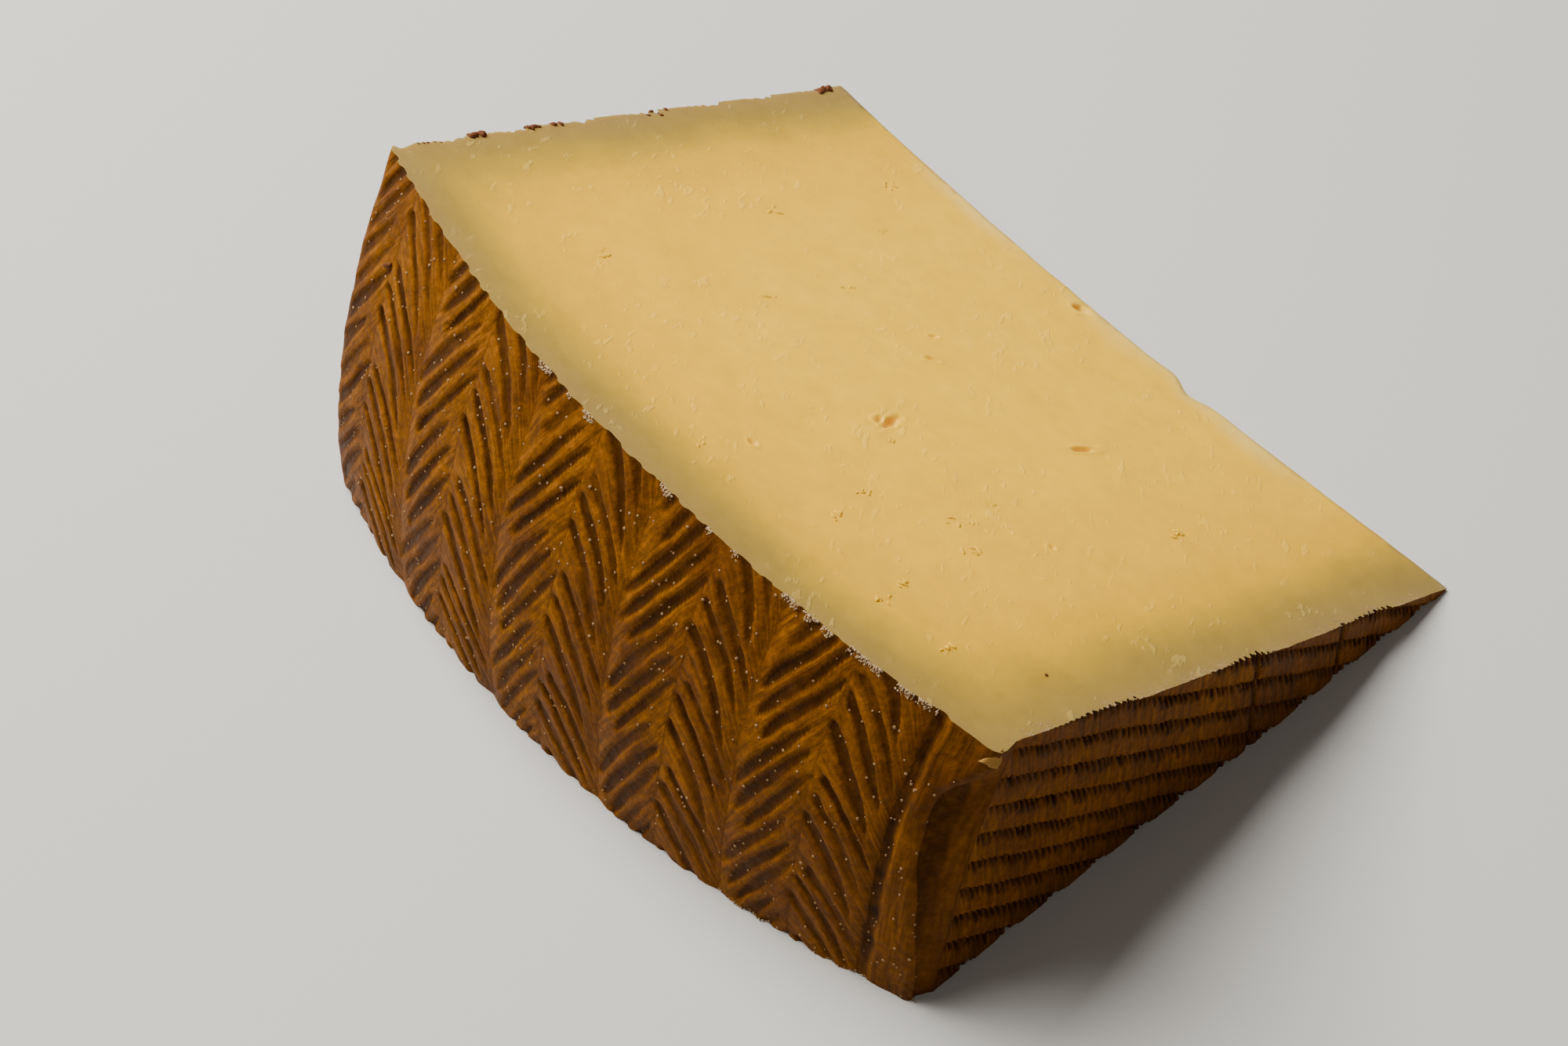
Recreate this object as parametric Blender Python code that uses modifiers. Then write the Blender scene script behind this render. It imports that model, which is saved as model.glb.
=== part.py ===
import math

import bmesh
import bpy
from mathutils import Vector

# A wedge cut from a wheel of pressed cheese, lying on one of its two cut faces.
# +X runs along the wheel's axis to the near flat face, +Y to the wedge's tip, +Z up.
# The origin is on the surface it lies on, under the middle of the wedge.
# All sizes are in metres.

# the whole wheel
WHEEL_HEIGHT = 0.105
RIM_RADIUS = 0.090
BARREL_BULGE = 0.0085
WHEEL_STEPS = 120
BARREL_SPANS = 14

# the flat faces: a smooth rim, a hollow behind its crest, then the ridged field
FIELD_RADIUS = 0.086
FACE_DOME = 0.0012
FACE_SPANS = 5
RIM_CREST = 0.0006
RIM_ROUND = 0.0012
HOLLOW_RADIUS = 0.0884
HOLLOW_DEPTH = 0.0014
RIM_DENT_DEPTH = 0.0034
RIM_DENT_HALF_SIZES = (0.0065, 0.0070, 0.0150)
RIM_DENT_TURN = math.radians(17.5)

# the three cuts
TOP_CUT_SLOPE = math.radians(26.1)
TOP_CUT_FAR_RISE = 0.0103
TIP_BLUNT = 0.0010
TIP_FAR_SETBACK = 0.0030
TIP_HOLLOW = 0.0028
TIP_SPANS = 14
TIP_MARGIN = 0.2
KNIFE_SIZE = 0.400

# the plait pressed round the side: bands along the axis from the near rim, each with
# three strokes to a strand that rise in one band and fall in the next
PLAIT_START = 0.0072
PLAIT_BANDS = 10
BAND_WIDTH = 0.0092
BAND_GROWTH = 0.00017
STRAND_PITCH = 0.0143
RISING_START = 0.0312
RISING_CLIMB = 0.0250
FALLING_START = 0.0286
FALLING_DROP = 0.0182
STROKE_SINK = 0.0001
STROKE_POINTS = 5
EDGE_GROOVE_WIDTH = 0.0016

# each stroke's lag and lead along and round the wheel, the shares of the band's width
# where it starts and ends, and its greatest width
RISING_STROKES = (
    (0.00, 0.0000, 0.04, 0.87, 0.0011),
    (0.12, -0.0023, 0.15, 0.96, 0.0013),
    (0.22, -0.0053, 0.24, 1.00, 0.0015),
)
FALLING_STROKES = (
    (0.00, 0.0000, 0.03, 0.74, 0.0010),
    (0.00, 0.0047, 0.06, 0.88, 0.0010),
    (0.00, 0.0095, 0.20, 0.96, 0.0010),
)

# the straight ridges pressed into the flat faces
RIDGE_PITCH = 0.00385
RIDGE_GROOVE_WIDTH = 0.0020
RIDGE_POINTS = 5
NEAR_RIDGE_TURN = math.radians(-35.0)
NEAR_RIDGE_OFFSET = 0.0013
FAR_RIDGE_TURN = math.radians(-47.0)
FAR_RIDGE_OFFSET = 0.0
CROSS_GROOVES = (-0.0366, -0.0212)
CROSS_GROOVE_WIDTH = 0.0012

# eyes in the upper cut: depth from the near face, place from the axis,
# half length, half width, half depth, and the turn of the length in degrees
EYES = (
    (0.0458, -0.0514, 0.0022, 0.0008, 0.0010, 103),
    (0.0345, -0.0301, 0.0020, 0.0006, 0.0008, 72),
    (0.0575, -0.0328, 0.0008, 0.0006, 0.0007, 72),
    (0.0477, -0.0708, 0.0007, 0.0007, 0.0007, 0),
    (0.0567, -0.0064, 0.0009, 0.0009, 0.0013, 0),
)
CHIP_PLACE = 0.0391
CHIP_RADIUS = 0.0030
CHIP_DEPTH = 0.0016

AXIS_Y = (RIM_RADIUS + BARREL_BULGE + TIP_BLUNT) / 2
NEAR_X = WHEEL_HEIGHT / 2


def clear_scene():
    for old in list(bpy.data.objects):
        bpy.data.objects.remove(old, do_unlink=True)


def new_collection(name):
    collection = bpy.data.collections.new(name)
    bpy.context.scene.collection.children.link(collection)
    return collection


def new_material(name, color, roughness):
    material = bpy.data.materials.new(name)
    material.use_nodes = True
    shader = material.node_tree.nodes["Principled BSDF"]
    shader.inputs["Base Color"].default_value = (*color, 1.0)
    shader.inputs["Roughness"].default_value = roughness
    shader.inputs["Metallic"].default_value = 0.0
    return material


def barrel_radius(depth):
    t = 2 * depth / WHEEL_HEIGHT - 1
    return RIM_RADIUS + BARREL_BULGE * (1 - t * t)


def face_height(radius):
    # how far the ridged field stands out of the plane of the rims
    return FACE_DOME * (1 - (radius / FIELD_RADIUS) ** 2)


def rim_profile():
    # from the edge of the ridged field outward over the crest, as radius and height
    return [
        (FIELD_RADIUS, 0.0),
        (HOLLOW_RADIUS - 0.0008, -HOLLOW_DEPTH * 0.8),
        (HOLLOW_RADIUS + 0.0006, -HOLLOW_DEPTH),
        (RIM_RADIUS - RIM_ROUND * 0.3, RIM_CREST * 0.4),
        (RIM_RADIUS + RIM_ROUND * 0.2, RIM_CREST),
    ]


def wheel_profile():
    # the near face from its centre out, down the barrel, and back in across the far face
    half = WHEEL_HEIGHT / 2
    face = []
    for i in range(FACE_SPANS):
        radius = FIELD_RADIUS * i / FACE_SPANS
        face.append((radius, half + face_height(radius)))
    face += [(radius, half + height) for radius, height in rim_profile()]
    barrel = []
    for i in range(1, BARREL_SPANS):
        depth = WHEEL_HEIGHT * i / BARREL_SPANS
        barrel.append((barrel_radius(depth), half - depth))
    near_shoulder = [(barrel_radius(RIM_ROUND) + 0.0003, half - RIM_ROUND)]
    far_shoulder = [(radius, -height) for radius, height in near_shoulder]
    far_face = [(radius, -height) for radius, height in reversed(face)]
    return face + near_shoulder + barrel + far_shoulder + far_face


def make_wheel(collection, material):
    points = [(radius, 0.0, height) for radius, height in wheel_profile()]
    edges = [(i, i + 1) for i in range(len(points) - 1)]
    mesh = bpy.data.meshes.new("cheese_wedge")
    mesh.from_pydata(points, edges, [])
    mesh.materials.append(material)
    wheel = bpy.data.objects.new("cheese_wedge", mesh)
    collection.objects.link(wheel)
    wheel.location = (0.0, AXIS_Y, 0.0)
    wheel.rotation_euler = (0.0, math.radians(90), 0.0)
    turn = wheel.modifiers.new("turned profile", "SCREW")
    turn.axis = "Z"
    turn.angle = math.radians(360)
    turn.steps = WHEEL_STEPS
    turn.render_steps = WHEEL_STEPS
    turn.use_merge_vertices = True
    turn.merge_threshold = 0.00001
    turn.use_smooth_shade = True
    return wheel


def as_cutter(obj, collection):
    for owner in list(obj.users_collection):
        owner.objects.unlink(obj)
    collection.objects.link(obj)
    obj.hide_render = True
    obj.display_type = "WIRE"
    return obj


def cut(target, cutter, name):
    boolean = target.modifiers.new(name, "BOOLEAN")
    boolean.operation = "DIFFERENCE"
    boolean.solver = "EXACT"
    boolean.material_mode = "TRANSFER"
    boolean.object = cutter


def block(name, size, location, direction, collection, material):
    # a cube with one face centred on the location, reaching from there along the direction
    bpy.ops.mesh.primitive_cube_add(size=1.0)
    obj = bpy.context.object
    obj.name = name
    turn = Vector(direction).to_track_quat("Z", "Y")
    for vertex in obj.data.vertices:
        vertex.co.z += 0.5
        vertex.co *= size
    obj.rotation_mode = "QUATERNION"
    obj.rotation_quaternion = turn
    obj.location = location
    obj.data.materials.append(material)
    return as_cutter(obj, collection)


def make_top_knife(collection, material):
    # the plane passes through the tip at the near face and rises to the rind and to the far face
    rise = TOP_CUT_FAR_RISE / WHEEL_HEIGHT
    normal = Vector((rise, math.tan(TOP_CUT_SLOPE), 1.0)).normalized()
    tip = (NEAR_X, AXIS_Y, 0.0)
    return block("top_knife", KNIFE_SIZE, tip, normal, collection, material)


def make_base_knife(collection, material):
    middle = (0.0, AXIS_Y, 0.0)
    return block("base_knife", KNIFE_SIZE, middle, (0.0, 0.0, -1.0), collection, material)


def tip_edge(depth):
    # how far short of the axis the tip stops
    along = depth / WHEEL_HEIGHT
    bow = 4 * along * (1 - along)
    return TIP_BLUNT + (TIP_FAR_SETBACK - TIP_BLUNT) * along + TIP_HOLLOW * max(bow, 0.0)


def make_tip_knife(collection, material):
    # an upright knife that bellies into the tip, as an extruded outline seen from above
    outline = bpy.data.curves.new("tip_knife", "CURVE")
    outline.dimensions = "2D"
    outline.fill_mode = "BOTH"
    outline.extrude = KNIFE_SIZE / 4
    spline = outline.splines.new("POLY")
    points = []
    for i in range(TIP_SPANS + 1):
        along = (1 + 2 * TIP_MARGIN) * i / TIP_SPANS - TIP_MARGIN
        depth = WHEEL_HEIGHT * along
        points.append((NEAR_X - depth, AXIS_Y - tip_edge(depth)))
    points.append((points[-1][0], AXIS_Y + KNIFE_SIZE / 2))
    points.append((points[0][0], AXIS_Y + KNIFE_SIZE / 2))
    spline.points.add(len(points) - 1)
    for point, (x, y) in zip(spline.points, points):
        point.co = (x, y, 0.0, 1.0)
    spline.use_cyclic_u = True
    return curve_cutter(outline, collection, material)


def curve_cutter(curve, collection, material):
    guide = bpy.data.objects.new(curve.name, curve)
    collection.objects.link(guide)
    bpy.context.view_layer.update()
    evaluated = guide.evaluated_get(bpy.context.evaluated_depsgraph_get())
    mesh = bpy.data.meshes.new_from_object(evaluated)
    name = curve.name
    bpy.data.objects.remove(guide, do_unlink=True)
    bpy.data.curves.remove(curve)
    weld(mesh)
    mesh.materials.clear()
    mesh.materials.append(material)
    cutter = bpy.data.objects.new(name, mesh)
    collection.objects.link(cutter)
    return as_cutter(cutter, collection)


def weld(mesh):
    shape = bmesh.new()
    shape.from_mesh(mesh)
    bmesh.ops.remove_doubles(shape, verts=shape.verts, dist=0.00001)
    bmesh.ops.recalc_face_normals(shape, faces=shape.faces)
    shape.to_mesh(mesh)
    shape.free()


def groove_curve(name):
    curve = bpy.data.curves.new(name, "CURVE")
    curve.dimensions = "3D"
    curve.bevel_depth = 1.0
    curve.bevel_resolution = 0
    curve.use_fill_caps = True
    return curve


def add_groove(curve, points, radii):
    spline = curve.splines.new("POLY")
    spline.points.add(len(points) - 1)
    for point, place, radius in zip(spline.points, points, radii):
        point.co = (*place, 1.0)
        point.radius = radius


def on_barrel(depth, arc, sink=0.0):
    # a point on the side, by its depth from the near rim and its height round the wheel
    radius = barrel_radius(depth) - sink
    angle = arc / (RIM_RADIUS + BARREL_BULGE)
    return (NEAR_X - depth, AXIS_Y - radius * math.cos(angle), radius * math.sin(angle))


def stroke_rise(t, rising):
    # a rising stroke sets off steeply and eases over, a falling one is straight
    if rising:
        return RISING_START + RISING_CLIMB * t / (1 + t)
    return FALLING_START - FALLING_DROP * t


def make_plait_cutter(collection, material):
    curve = groove_curve("plait_grooves")
    left = PLAIT_START
    for band in range(PLAIT_BANDS):
        width = BAND_WIDTH + BAND_GROWTH * band
        rising = band % 2 == 0
        for strand in range(-4, 5):
            for stroke in RISING_STROKES if rising else FALLING_STROKES:
                points, radii = stroke_points(left, width, strand, stroke, rising)
                if stroke_is_needed(points):
                    add_groove(curve, points, radii)
        left += width
    return curve_cutter(curve, collection, material)


def stroke_points(left, width, strand, stroke, rising):
    lag, lead, first, last, groove_width = stroke
    points = []
    radii = []
    for i in range(STROKE_POINTS):
        s = i / (STROKE_POINTS - 1)
        t = first + (last - first) * s
        arc = strand * STRAND_PITCH + stroke_rise(t - lag, rising) + lead
        points.append(on_barrel(left + width * t, arc, STROKE_SINK))
        taper = 0.25 + 0.75 * math.sin(math.pi * s) ** 0.6
        radii.append(groove_width / 2 * taper)
    return points, radii


def top_height(x, y):
    rise = TOP_CUT_FAR_RISE / WHEEL_HEIGHT
    return rise * (NEAR_X - x) + math.tan(TOP_CUT_SLOPE) * (AXIS_Y - y)


def stroke_is_needed(points):
    # strokes that lie wholly under the wedge or wholly above its cut are left out
    margin = STRAND_PITCH / 8
    above = all(z > top_height(x, y) + margin for x, y, z in points)
    below = all(z < -margin for x, y, z in points)
    return not above and not below


def make_edge_groove_cutter(collection, material):
    # the long groove between the smooth near rim and the plait
    curve = groove_curve("edge_groove")
    points = []
    turns = 24
    for i in range(turns + 1):
        arc = -0.012 + 0.072 * i / turns
        points.append(on_barrel(PLAIT_START - EDGE_GROOVE_WIDTH * 0.45, arc))
    add_groove(curve, points, [EDGE_GROOVE_WIDTH / 2] * len(points))
    return curve_cutter(curve, collection, material)


def on_face(side, across, height):
    radius = math.hypot(across, height)
    x = side * (WHEEL_HEIGHT / 2 + face_height(radius))
    return (x, AXIS_Y + across, height)


def make_ridge_cutter(name, side, turn, offset, collection, material):
    # straight grooves that cross the ridged field side by side
    curve = groove_curve(name)
    along = Vector((math.cos(turn), math.sin(turn)))
    aside = Vector((-math.sin(turn), math.cos(turn)))
    count = int(FIELD_RADIUS / RIDGE_PITCH)
    for i in range(-count, count + 1):
        distance = i * RIDGE_PITCH + offset
        room = FIELD_RADIUS ** 2 - distance ** 2
        if room <= 0:
            continue
        reach = math.sqrt(room) - 0.0006
        points = []
        for j in range(RIDGE_POINTS):
            place = aside * distance + along * reach * (2 * j / (RIDGE_POINTS - 1) - 1)
            points.append(on_face(side, place.x, place.y))
        if any(in_wedge(side, x, y, z) for x, y, z in refined(points)):
            add_groove(curve, points, [RIDGE_GROOVE_WIDTH / 2] * len(points))
    return curve_cutter(curve, collection, material)


def refined(points):
    # the points and many places between them, for testing
    for first, second in zip(points, points[1:]):
        for i in range(9):
            yield Vector(first).lerp(Vector(second), i / 8)


def in_wedge(side, x, y, z):
    margin = RIDGE_GROOVE_WIDTH
    return -margin < z < top_height(side * NEAR_X, y) + margin


def make_cross_groove_cutter(collection, material):
    curve = groove_curve("cross_grooves")
    for across in CROSS_GROOVES:
        points = [on_face(1, across, -0.003 + 0.030 * i / 4) for i in range(5)]
        add_groove(curve, points, [CROSS_GROOVE_WIDTH / 2] * len(points))
    return curve_cutter(curve, collection, material)


def ball(name, location, half_sizes, segments, collection, material):
    rings = segments // 2
    bpy.ops.mesh.primitive_uv_sphere_add(segments=segments, ring_count=rings, radius=1.0)
    obj = bpy.context.object
    obj.name = name
    for vertex in obj.data.vertices:
        for axis in range(3):
            vertex.co[axis] *= half_sizes[axis]
    obj.location = location
    obj.data.materials.append(material)
    return as_cutter(obj, collection)


def make_eye_cutters(collection, material):
    eyes = []
    for i, (depth, across, half_long, half_wide, half_deep, turn) in enumerate(EYES):
        x = NEAR_X - depth
        y = AXIS_Y + across
        place = (x, y, top_height(x, y))
        half_sizes = (half_long, half_wide, half_deep)
        eye = ball(f"eye_{i + 1}", place, half_sizes, 10, collection, material)
        eye.rotation_euler = (0.0, 0.0, math.radians(turn))
        eyes.append(eye)
    return eyes


def make_chip_cutter(collection, material):
    # where a crumb broke out of the tip's edge
    x = NEAR_X - CHIP_PLACE
    y = AXIS_Y - tip_edge(CHIP_PLACE) + CHIP_RADIUS - CHIP_DEPTH
    half_sizes = (CHIP_RADIUS * 0.6, CHIP_RADIUS, KNIFE_SIZE / 8)
    return ball("chip", (x, y, 0.0), half_sizes, 12, collection, material)


def make_rim_dent_cutter(collection, material):
    # a soft dent that sets the near rim back half way up
    x = NEAR_X + RIM_CREST + RIM_DENT_HALF_SIZES[0] - RIM_DENT_DEPTH
    y = AXIS_Y - RIM_RADIUS * math.cos(RIM_DENT_TURN)
    z = RIM_RADIUS * math.sin(RIM_DENT_TURN)
    dent = ball("rim_dent", (x, y, z), RIM_DENT_HALF_SIZES, 28, collection, material)
    dent.rotation_euler = (-RIM_DENT_TURN, 0.0, 0.0)
    return dent


def main():
    clear_scene()
    parts = new_collection("cheese wedge")
    cutters = new_collection("cutters")
    rind = new_material("brown rind", (0.30, 0.15, 0.035), 0.5)
    paste = new_material("cream paste", (0.75, 0.62, 0.33), 0.55)

    wedge = make_wheel(parts, rind)
    cut(wedge, make_base_knife(cutters, paste), "lower cut")
    cut(wedge, make_top_knife(cutters, paste), "upper cut")
    cut(wedge, make_tip_knife(cutters, paste), "tip cut")
    cut(wedge, make_rim_dent_cutter(cutters, rind), "rim dent")
    cut(wedge, make_edge_groove_cutter(cutters, rind), "edge groove")
    cut(wedge, make_plait_cutter(cutters, rind), "plait")
    near_ridges = ("near_ridges", 1, NEAR_RIDGE_TURN, NEAR_RIDGE_OFFSET)
    far_ridges = ("far_ridges", -1, FAR_RIDGE_TURN, FAR_RIDGE_OFFSET)
    cut(wedge, make_ridge_cutter(*near_ridges, cutters, rind), "near ridges")
    cut(wedge, make_ridge_cutter(*far_ridges, cutters, rind), "far ridges")
    cut(wedge, make_cross_groove_cutter(cutters, rind), "cross grooves")
    for eye in make_eye_cutters(cutters, paste):
        cut(wedge, eye, eye.name)
    cut(wedge, make_chip_cutter(cutters, paste), "chip")


main()
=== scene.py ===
import math

import bmesh
import bpy
import numpy as np
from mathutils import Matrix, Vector, kdtree
from mathutils.geometry import delaunay_2d_cdt


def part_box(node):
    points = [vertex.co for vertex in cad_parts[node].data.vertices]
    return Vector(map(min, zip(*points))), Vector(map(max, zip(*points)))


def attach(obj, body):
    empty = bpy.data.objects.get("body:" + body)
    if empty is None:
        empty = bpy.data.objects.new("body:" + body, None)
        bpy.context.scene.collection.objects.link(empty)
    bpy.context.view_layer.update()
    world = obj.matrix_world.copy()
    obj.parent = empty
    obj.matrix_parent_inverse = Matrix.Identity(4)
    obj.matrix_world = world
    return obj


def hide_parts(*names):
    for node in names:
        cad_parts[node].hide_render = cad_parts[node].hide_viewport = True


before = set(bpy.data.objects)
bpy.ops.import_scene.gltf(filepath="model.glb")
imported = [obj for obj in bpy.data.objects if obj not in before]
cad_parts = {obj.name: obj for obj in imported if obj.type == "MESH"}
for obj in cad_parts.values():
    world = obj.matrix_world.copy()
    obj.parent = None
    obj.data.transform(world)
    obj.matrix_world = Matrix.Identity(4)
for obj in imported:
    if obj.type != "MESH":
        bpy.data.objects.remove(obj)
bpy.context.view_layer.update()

mm = 0.001

# The wedge is worked in the wheel's own millimetres: depth runs in from the near flat face,
# across from the wheel's axis (minus towards the rind), up from the cut it lies on, and arc
# round the belly of the side from that cut.
wheel = {
    "rimRadius": 90.0,
    "bulge": 8.5,
    "dome": 1.2,
    "fieldRadius": 86.0,
    "slope": 26.1,          # degrees, the upper cut seen along the axis
    "farRise": 10.3,        # how much higher the upper cut is at the far face
    "tipBlunt": 1.0,
    "tipSetback": 3.0,
    "tipHollow": 2.8,
}

boxLow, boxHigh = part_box("cheese_wedge")
wheel["nearX"] = boxHigh.x / mm - wheel["dome"]
wheel["height"] = (boxHigh.x - boxLow.x) / mm - 2 * wheel["dome"]
wheel["belly"] = wheel["rimRadius"] + wheel["bulge"]
wheel["axisY"] = boxLow.y / mm + wheel["belly"] + 0.1


def toFrame(depth, across, up):
    # wheel millimetres to the frame's metres
    return np.stack([wheel["nearX"] - depth, wheel["axisY"] + across, up], axis=-1) * mm


def barrel(depth):
    t = 2 * depth / wheel["height"] - 1
    return wheel["rimRadius"] + wheel["bulge"] * (1 - t * t)


def cutHeight(depth, across):
    # how high the upper cut is over a place on the lower one
    climb = math.tan(math.radians(wheel["slope"]))
    return wheel["farRise"] * depth / wheel["height"] - across * climb


def tipFace(depth):
    # where the straight tip cut is before its hollow
    return -wheel["tipBlunt"] - (wheel["tipSetback"] - wheel["tipBlunt"]) * depth / wheel["height"]


def smoothStep(low, high, value):
    t = np.clip((value - low) / (high - low), 0.0, 1.0)
    return t * t * (3 - 2 * t)


def draw(i, j, seed):
    # a fixed draw from -1 to 1 for each pair of whole numbers
    value = np.sin(i * 127.1 + j * 311.7 + seed * 74.7) * 43758.5453
    return 2 * (value - np.floor(value)) - 1


def bumps(x, y, seed):
    # smooth unevenness from -1 to 1, one unit between bumps
    i, j = np.floor(x), np.floor(y)
    u, v = smoothStep(0, 1, x - i), smoothStep(0, 1, y - j)
    low = draw(i, j, seed) * (1 - u) + draw(i + 1, j, seed) * u
    high = draw(i, j + 1, seed) * (1 - u) + draw(i + 1, j + 1, seed) * u
    return low * (1 - v) + high * v


def roughness(x, y, seed):
    fine = 0.5 * bumps(2.1 * x, 2.1 * y, seed + 1) + 0.25 * bumps(4.3 * x, 4.3 * y, seed + 2)
    return (bumps(x, y, seed) + fine) / 1.75


# The plait pressed round the side, like the braided grass of a cheese mould.
plait = {
    "start": 7.2,
    "bands": 10,
    "bandWidth": 9.2,
    "bandGrowth": 0.17,
    "pitch": 14.3,
    "risingStart": 31.2,
    "risingClimb": 25.0,
    "fallingStart": 28.6,
    "fallingDrop": 18.2,
    # each stroke: lag across the band, lead round the wheel, where it starts and ends in the
    # band, and its width at the start and at the end
    "risingStrokes": (
        (0.00, 0.8, 0.00, 0.92, 1.05, 1.5),
        (0.12, -2.0, 0.08, 1.00, 1.1, 1.6),
        (0.22, -5.6, 0.12, 1.05, 1.2, 1.8),
    ),
    "fallingStrokes": (
        (0.00, 0.0, -0.06, 0.78, 1.1, 1.45),
        (0.00, 4.7, 0.02, 0.92, 1.1, 1.45),
        (0.00, 9.5, 0.14, 1.00, 1.1, 1.5),
    ),
    "deep": 0.52,
    "pillow": 0.25,
    "edgeGrooveArcs": (0.0, 13.0, 27.0, 34.0, 43.0, 60.0),
    "edgeGrooveDepths": (7.0, 6.35, 6.7, 6.5, 6.25, 6.2),
    "edgeGrooveDeep": 0.62,
}


def strokesOf(band, t, arc, width, rising):
    # how deep in a stroke each place is, 0 to 1, for one band's kind of strokes
    groove = np.zeros_like(t)
    strokes = plait["risingStrokes"] if rising else plait["fallingStrokes"]
    for number, (lag, lead, first, last, thin, thick) in enumerate(strokes):
        x = t - lag
        if rising:
            x = np.maximum(x, -0.3)
            run = plait["risingStart"] + plait["risingClimb"] * x / (1 + x)
            slope = plait["risingClimb"] / (1 + x) ** 2 / width
        else:
            run = plait["fallingStart"] - plait["fallingDrop"] * x
            slope = plait["fallingDrop"] / width
        off = arc - run - lead
        row = np.floor(off / plait["pitch"] + 0.5)
        key = band * 31 + row * 7 + number
        off = off - row * plait["pitch"] - 0.25 * draw(key, band, 11)
        off = off - 0.18 * bumps(t * 3 + key * 5.3, key * 0.7, 21)
        off = off / np.sqrt(1 + slope * slope)
        start = first + 0.03 * draw(key, band, 12)
        end = last + 0.03 * draw(key, band, 13)
        along = np.clip((t - start) / (end - start), 0, 1)
        taper = smoothStep(0, 0.30, along) * smoothStep(0, 0.13 if rising else 0.2, 1 - along)
        half = 0.5 * (thin + (thick - thin) * along) * (0.35 + 0.65 * taper)
        wavy = 0.15 * bumps(t * 5 + key * 3.1, key * 1.3, 22)
        half = half * (1 + 0.16 * draw(key, band, 14) + wavy)
        worn = 0.82 + 0.18 * bumps(t * 3 + key * 1.7, key * 2.3, 23)
        shape = smoothStep(1.25, 0.65, np.abs(off) / half) * smoothStep(0, 0.35, taper) * worn
        shape = shape * np.where((t > start) & (t < end), 1, 0) * (0.9 + 0.1 * draw(key, band, 15))
        groove = np.maximum(groove, shape * (0.7 + 0.3 * along * taper))
    return groove


def plaitRelief(depth, arc):
    # height in mm, how much of a groove each place is, and its place across and along the
    # straw that pressed it, by depth and arc round the wheel
    edgeGroove = np.interp(arc, plait["edgeGrooveArcs"], plait["edgeGrooveDepths"])
    fromGroove = depth - edgeGroove + 0.14 * bumps(arc / 6, 0, 10)
    depth = depth + 0.3 * bumps(depth / 9, arc / 10, 2) + 0.1 * bumps(depth / 2.3, arc / 2.7, 3)
    arc = arc + 0.45 * bumps(depth / 11, arc / 8, 1) + 0.12 * bumps(depth / 2.1, arc / 2.5, 4)
    widths = plait["bandWidth"] + plait["bandGrowth"] * np.arange(plait["bands"])
    lefts = plait["start"] + np.concatenate([[0.0], np.cumsum(widths)])
    groove = np.zeros_like(depth)
    for band in range(plait["bands"]):
        t = (depth - lefts[band]) / widths[band]
        reach = (t > -0.12) & (t < 1.12)
        if reach.any():
            found = strokesOf(band, t[reach], arc[reach], widths[band], band % 2 == 0)
            groove[reach] = np.maximum(groove[reach], found)
    band = np.clip(np.searchsorted(lefts, depth) - 1, 0, plait["bands"] - 1)
    t = np.clip((depth - lefts[band]) / widths[band], 0.0, 1.0)
    rising = band % 2 == 0
    run = np.where(rising, plait["risingClimb"] * t / (1 + t), -plait["fallingDrop"] * t)
    slope = np.where(rising, 0.5 * plait["risingClimb"], plait["fallingDrop"]) / widths[band]
    straw = (arc - run) / np.sqrt(1 + slope * slope)
    along = t * widths[band] * np.sqrt(1 + slope * slope) + 50 * band
    # each strand swells a little, and the bands meet in a shallow valley where strokes meet low
    valley = np.where(rising, 1 - t, t)
    swell = np.sin(math.pi * np.clip(t, 0, 1)) - 0.8 * smoothStep(0.8, 1.0, valley)
    swell = plait["pillow"] * swell
    height = swell - plait["deep"] * groove
    rimShare = smoothStep(0.9, 0.3, fromGroove)
    trench = np.exp(-(np.abs(fromGroove) / 0.85) ** 2.4) * smoothStep(-6, 8, arc)
    lip = np.exp(-(((fromGroove + 1.35) / 0.25) ** 2)) * smoothStep(14, 26, arc)
    height = height * (1 - rimShare) - plait["edgeGrooveDeep"] * trench + 0.12 * lip
    # the groove share darkens the rind's colour: partly oil and dust, partly painted shade in the
    # strokes and the trench
    worn = 0.72 + 0.28 * bumps(arc / 1.7, depth / 0.9, 24)
    groove = np.maximum(groove * (1 - rimShare), trench * worn)
    onRim = rimShare > 0.5
    return height, groove, np.where(onRim, depth, straw), np.where(onRim, arc - 100, along)


# The straight ridges pressed into the flat faces, with the ends of the straw hanging as fine
# teeth across every groove.
ridges = {
    "pitch": 4.03,
    "near": {"turn": -35.0, "offset": 1.08, "seed": 30},
    "far": {"turn": -47.0, "offset": 0.0, "seed": 50},
    "deep": 0.8,
    "share": 0.64,          # how much of the pitch is groove
    "brow": 1.05,           # mm from the middle of a ridge to the edge that the groove drops from
    "tooth": 0.92,
    "toothDeep": 0.95,
    "crossGrooves": (-36.6, -21.2),
}


def ridgeLevel(across, up, side):
    # how far a place is from the first ridge, square to the ridges
    turn = math.radians(side["turn"])
    level = -across * math.sin(turn) + up * math.cos(turn) - side["offset"]
    level = level + 0.3 * bumps(across / 12, up / 12, side["seed"])
    return level + 0.14 * bumps(across / 2.6, up / 2.6, side["seed"] + 1)


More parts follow.
